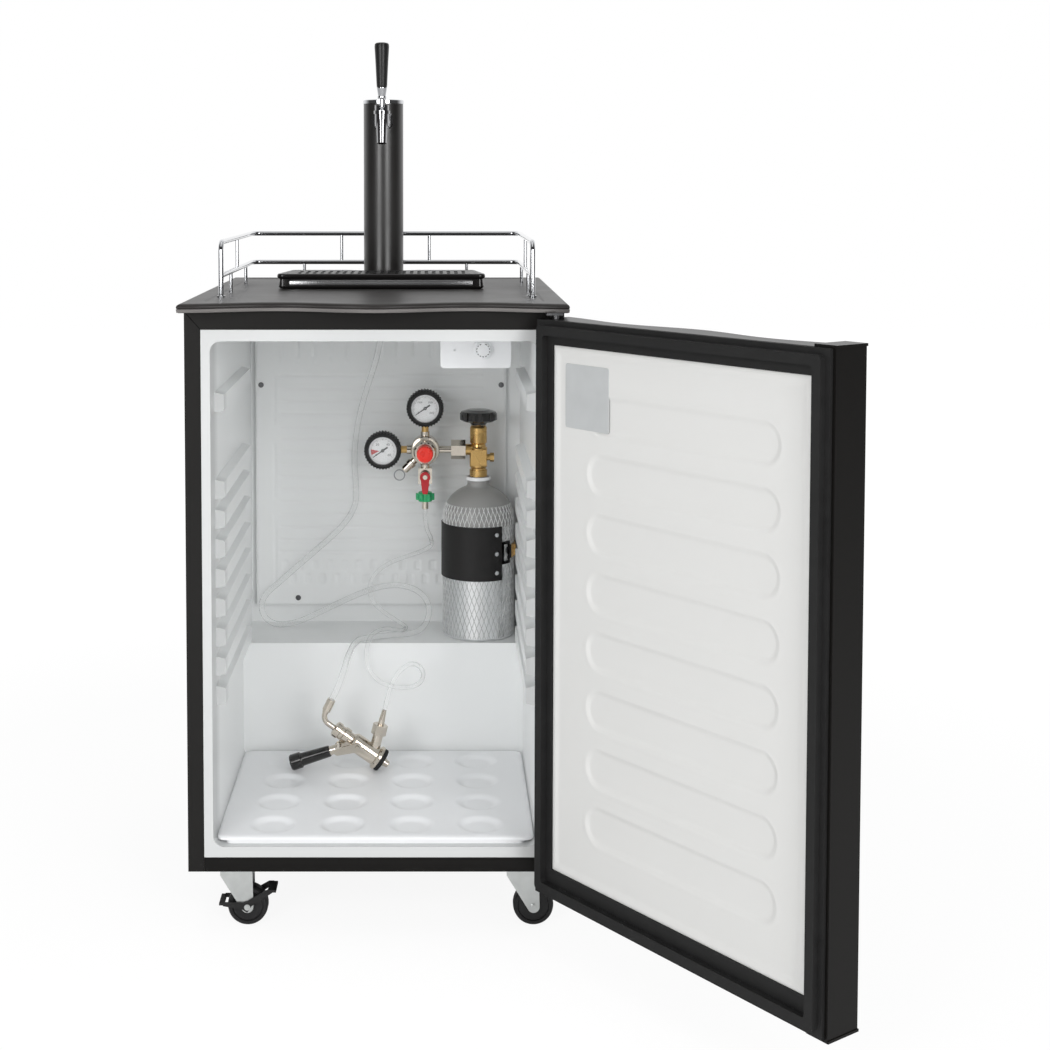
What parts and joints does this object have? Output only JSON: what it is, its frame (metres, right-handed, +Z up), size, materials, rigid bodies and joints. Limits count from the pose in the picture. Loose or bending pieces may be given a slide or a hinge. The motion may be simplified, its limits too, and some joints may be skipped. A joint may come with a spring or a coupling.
{
  "type": "draft beer cooler",
  "caption": "Insulated beer cooler on casters with its door open: tap tower, drip tray and rail on top, gas cylinder, regulator, hoses and keg coupler inside.",
  "frame": {"origin": "on the floor under the middle of the cabinet", "axes": "+X to the right seen from the front, +Y to the back, +Z up"},
  "size_m": [0.7859, 1.0007, 1.198],
  "materials": {
    "frame_black": "satin, slightly brown black",
    "top_black": "fine textured satin black",
    "galvanised": "dull zinc",
    "foam": "rigid insulating foam, hidden",
    "liner_white": "smooth pale cool grey",
    "white_plastic": "smooth white",
    "door_white": "smooth warm white",
    "chrome": "polished",
    "nickel": "warm polished nickel",
    "brass": "turned brass",
    "grip_black": "glossy black",
    "plastic_black": "fine grained black",
    "rubber_black": "soft black",
    "red_plastic": "moulded red",
    "green_plastic": "moulded green",
    "cylinder_silver": "silver paint, brushed",
    "hose_clear": "clear soft tube",
    "lens_clear": "clear window",
    "webbing": "woven black band",
    "zinc": "bright zinc plate",
    "wheel_black": "hard black nylon",
    "coil_black": "black enamel"
  },
  "bodies": {
    "cabinet": {"cabinet_shell": "frame_black", "base_pan": "frame_black", "back_panel": "galvanised", "cabinet_foam": "foam", "cabinet_liner": "liner_white", "evaporator_plate": "liner_white", "plate_screws": "zinc", "thermostat_housing": "white_plastic", "floor_plate": "white_plastic", "worktop": "top_black", "guard_rail": "chrome", "tower_column": "frame_black", "tower_cap": "chrome", "faucet_body": "chrome", "beer_line": "hose_clear", "gas_line": "hose_clear", "compressor": "coil_black", "condenser_coil": "coil_black", "co2_cylinder": "cylinder_silver", "cylinder_valve": "brass", "cylinder_strap": "webbing", "strap_hardware": "brass", "regulator_body": "nickel", "gauge_cases": "brass", "gauge_boots": "rubber_black", "gauge_lenses": "lens_clear", "shutoff_valve": "nickel", "hose_nut": "green_plastic", "coupler_body": "nickel", "coupler_seal": "rubber_black", "hinge_brackets": "zinc", "caster_plates": "zinc"},
    "door": {"door_skin": "frame_black", "door_foam": "foam", "door_liner": "door_white", "door_gasket": "rubber_black", "door_handle": "frame_black"},
    "tap_lever": {"tap_lever": "chrome", "tap_grip": "grip_black"},
    "coupler_lever": {"coupler_lever": "nickel", "coupler_grip": "grip_black"},
    "drip_tray": {"drip_tray": "plastic_black"},
    "drip_grille": {"drip_grille": "chrome"},
    "thermostat_knob": {"thermostat_knob": "white_plastic"},
    "cylinder_handwheel": {"cylinder_handwheel": "plastic_black"},
    "regulator_knob": {"regulator_knob": "red_plastic"},
    "shutoff_lever": {"shutoff_lever": "red_plastic"},
    "relief_ring": {"relief_ring": "zinc"},
    "coupler_probe": {"coupler_probe": "nickel"},
    "brake_pedal": {"brake_pedal": "plastic_black"},
    "needle_high": {"needle_high": "plastic_black"},
    "needle_low": {"needle_low": "plastic_black"},
    "caster_fork_fl": {"caster_fork_fl": "zinc"},
    "wheel_fl": {"wheel_fl": "wheel_black"},
    "caster_fork_fr": {"caster_fork_fr": "zinc"},
    "wheel_fr": {"wheel_fr": "wheel_black"},
    "caster_fork_rl": {"caster_fork_rl": "zinc"},
    "wheel_rl": {"wheel_rl": "wheel_black"},
    "caster_fork_rr": {"caster_fork_rr": "zinc"},
    "wheel_rr": {"wheel_rr": "wheel_black"}
  },
  "joints": [
    {"name": "door_hinge", "type": "hinge", "parent": "cabinet", "child": "door", "pos_m": [0.232, -0.3, 0.45], "axis": [0, 0, 1], "range_deg": [-126, 10]},
    {"name": "tap_pull", "type": "hinge", "parent": "cabinet", "child": "tap_lever", "pos_m": [0, 0.068, 1.098], "axis": [1, 0, 0], "range_deg": [0, 30]},
    {"name": "drip_tray_lift", "type": "slide", "parent": "cabinet", "child": "drip_tray", "axis": [0, 0, 1], "range_m": [0, 0.09]},
    {"name": "drip_grille_lift", "type": "slide", "parent": "drip_tray", "child": "drip_grille", "axis": [0, 0, 1], "range_m": [0, 0.06]},
    {"name": "thermostat_turn", "type": "hinge", "parent": "cabinet", "child": "thermostat_knob", "pos_m": [0.1445, -0.12, 0.7625], "axis": [0, 1, 0], "range_deg": [-30, 270]},
    {"name": "cylinder_valve_turn", "type": "hinge", "parent": "cabinet", "child": "cylinder_handwheel", "pos_m": [0.145, 0.15, 0.633], "axis": [0, 0, 1], "range_deg": [0, 540]},
    {"name": "regulator_turn", "type": "hinge", "parent": "cabinet", "child": "regulator_knob", "pos_m": [0.063, 0.11, 0.582], "axis": [0, 1, 0], "range_deg": [0, 720]},
    {"name": "shutoff_turn", "type": "hinge", "parent": "cabinet", "child": "shutoff_lever", "pos_m": [0.063, 0.132, 0.542], "axis": [0, 1, 0], "range_deg": [-90, 0]},
    {"name": "relief_pull", "type": "slide", "parent": "cabinet", "child": "relief_ring", "axis": [-0.7071, 0, -0.7071], "range_m": [0, 0.004], "stiffness_N_per_m": 300, "springref_m": -0.001},
    {"name": "coupler_pull", "type": "hinge", "parent": "cabinet", "child": "coupler_lever", "pos_m": [-0.03454, -0.007, 0.17296], "axis": [0, 1, 0], "range_deg": [0, 10]},
    {"name": "probe_slide", "type": "slide", "parent": "cabinet", "child": "coupler_probe", "axis": [-0.8192, 0, 0.5736], "range_m": [0, 0.00268]},
    {"name": "needle_high_turn", "type": "hinge", "parent": "cabinet", "child": "needle_high", "pos_m": [0.063, 0.138, 0.647], "axis": [0, 1, 0], "range_deg": [0, 250]},
    {"name": "needle_low_turn", "type": "hinge", "parent": "cabinet", "child": "needle_low", "pos_m": [-0.002, 0.138, 0.582], "axis": [0, 1, 0], "range_deg": [0, 250]},
    {"name": "swivel_fl", "type": "hinge", "parent": "cabinet", "child": "caster_fork_fl", "pos_m": [-0.191, -0.22, 0.082], "axis": [0, 0, 1], "continuous": true},
    {"name": "wheel_spin_fl", "type": "hinge", "parent": "caster_fork_fl", "child": "wheel_fl", "pos_m": [-0.172, -0.22, 0.027], "axis": [0, 1, 0], "continuous": true},
    {"name": "swivel_fr", "type": "hinge", "parent": "cabinet", "child": "caster_fork_fr", "pos_m": [0.191, -0.22, 0.082], "axis": [0, 0, 1], "continuous": true},
    {"name": "wheel_spin_fr", "type": "hinge", "parent": "caster_fork_fr", "child": "wheel_fr", "pos_m": [0.21, -0.22, 0.027], "axis": [0, 1, 0], "continuous": true},
    {"name": "swivel_rl", "type": "hinge", "parent": "cabinet", "child": "caster_fork_rl", "pos_m": [-0.191, 0.22, 0.082], "axis": [0, 0, 1], "continuous": true},
    {"name": "wheel_spin_rl", "type": "hinge", "parent": "caster_fork_rl", "child": "wheel_rl", "pos_m": [-0.172, 0.22, 0.027], "axis": [0, 1, 0], "continuous": true},
    {"name": "swivel_rr", "type": "hinge", "parent": "cabinet", "child": "caster_fork_rr", "pos_m": [0.191, 0.22, 0.082], "axis": [0, 0, 1], "continuous": true},
    {"name": "wheel_spin_rr", "type": "hinge", "parent": "caster_fork_rr", "child": "wheel_rr", "pos_m": [0.21, 0.22, 0.027], "axis": [0, 1, 0], "continuous": true},
    {"name": "brake_rock", "type": "hinge", "parent": "caster_fork_fl", "child": "brake_pedal", "pos_m": [-0.172, -0.22, 0.027], "axis": [0, 1, 0], "range_deg": [0, 20]}
  ],
  "couplings": [
    {"joint": "probe_slide", "follows": "coupler_pull", "m_per_rad": 0.0153},
    {"joint": "needle_low_turn", "follows": "regulator_turn", "ratio": 0.34722}
  ]
}
